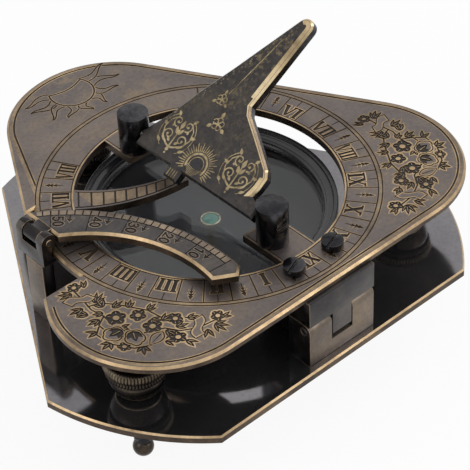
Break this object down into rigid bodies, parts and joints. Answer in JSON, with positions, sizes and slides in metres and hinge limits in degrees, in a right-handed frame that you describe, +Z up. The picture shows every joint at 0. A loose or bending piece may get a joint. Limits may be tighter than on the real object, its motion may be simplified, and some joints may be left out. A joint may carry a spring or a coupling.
{
  "type": "sundial compass",
  "caption": "Sundial compass: engraved rounded-triangle hour plate with folding gnomon and latitude arc, hinged over a base with a glazed compass and levelling screws.",
  "frame": {"origin": "middle of the base plate's underside, under the compass pivot and the centre of the hour ring", "axes": "+Z up, hinge side towards -Y, latitude arc towards -X"},
  "size_m": [0.1378, 0.1249, 0.0853],
  "materials": {
    "black_mirror": "black, polished like a mirror, with worn brown edges",
    "black_lacquer": "glossy black lacquer",
    "black_card": "matte black with fine pale divisions",
    "pale_brass": "bright worn brass",
    "blued_steel": "blued and polished",
    "turquoise": "polished turquoise stone",
    "clear_glass": "clear polished glass",
    "dark_steel": "dark, lightly polished",
    "antique_brass": "grey-brown antique, bright where worn",
    "engraved_bronze": "brown antique with dark engraving and bright edges",
    "dark_brass": "dark antique, knurled, bright on the tips"
  },
  "bodies": {
    "base": {"base_plate": "black_mirror", "compass_case": "black_lacquer", "compass_card": "black_card", "needle_pivot": "pale_brass", "compass_glass": "clear_glass", "compass_bezel": "black_lacquer", "case_screws": "dark_steel", "hinge_lower_block": "antique_brass", "hinge_pin": "pale_brass", "hinge_base_screws": "dark_steel", "rest_post": "antique_brass", "rest_post_screw": "dark_steel"},
    "needle": {"compass_needle": "blued_steel", "needle_collar": "pale_brass", "needle_cap": "turquoise"},
    "hour_plate": {"dial_plate": "engraved_bronze", "hinge_upper_block": "antique_brass", "dial_screws": "dark_steel", "gnomon_post_far": "dark_steel", "gnomon_post_near": "dark_steel", "post_screws": "dark_steel", "gnomon_pivot_screws": "dark_steel", "arc_bracket": "antique_brass", "arc_bracket_screws": "dark_steel", "arc_pin": "pale_brass"},
    "gnomon": {"gnomon_blade": "engraved_bronze"},
    "arc": {"latitude_arc": "engraved_bronze"},
    "foot_front": {"ball_foot_front": "antique_brass"},
    "foot_right": {"ball_foot_right": "antique_brass"},
    "foot_rear": {"ball_foot_rear": "antique_brass"},
    "screw_front": {"thumb_wheel_front": "dark_brass", "level_stem_front": "dark_steel"},
    "screw_right": {"thumb_wheel_right": "dark_brass", "level_stem_right": "dark_steel"},
    "screw_rear": {"thumb_wheel_rear": "dark_brass", "level_stem_rear": "dark_steel"}
  },
  "joints": [
    {"name": "hour_plate_tilt", "type": "hinge", "parent": "base", "child": "hour_plate", "pos_m": [0, -0.049, 0.0138], "axis": [1, 0, 0], "range_deg": [0, 60]},
    {"name": "gnomon_raise", "type": "hinge", "parent": "hour_plate", "child": "gnomon", "pos_m": [-0.0025, 0, 0.0337], "axis": [0, -1, 0], "range_deg": [-33, 55]},
    {"name": "arc_raise", "type": "hinge", "parent": "hour_plate", "child": "arc", "pos_m": [-0.0476, 0.015, 0.0301], "axis": [0, -1, 0], "range_deg": [0, 90]},
    {"name": "needle_swing", "type": "hinge", "parent": "base", "child": "needle", "pos_m": [0, 0, 0.015], "axis": [0, 0, 1], "continuous": true},
    {"name": "lift_front", "type": "slide", "parent": "base", "child": "foot_front", "axis": [0, 0, -1], "range_m": [-0.00848, 0.00106]},
    {"name": "turn_front", "type": "hinge", "parent": "foot_front", "child": "screw_front", "pos_m": [-0.04914, -0.02558, 0], "axis": [0, 0, -1], "range_deg": [-2890, 370]},
    {"name": "lift_right", "type": "slide", "parent": "base", "child": "foot_right", "axis": [0, 0, -1], "range_m": [-0.00848, 0.00106]},
    {"name": "turn_right", "type": "hinge", "parent": "foot_right", "child": "screw_right", "pos_m": [0.04914, -0.02558, 0], "axis": [0, 0, -1], "range_deg": [-2890, 370]},
    {"name": "lift_rear", "type": "slide", "parent": "base", "child": "foot_rear", "axis": [0, 0, -1], "range_m": [-0.00848, 0.00106]},
    {"name": "turn_rear", "type": "hinge", "parent": "foot_rear", "child": "screw_rear", "pos_m": [0, 0.0554, 0], "axis": [0, 0, -1], "range_deg": [-2890, 370]}
  ],
  "couplings": [
    {"joint": "turn_front", "follows": "lift_front", "rad_per_m": 5927.5},
    {"joint": "turn_right", "follows": "lift_right", "rad_per_m": 5927.5},
    {"joint": "turn_rear", "follows": "lift_rear", "rad_per_m": 5927.5}
  ]
}
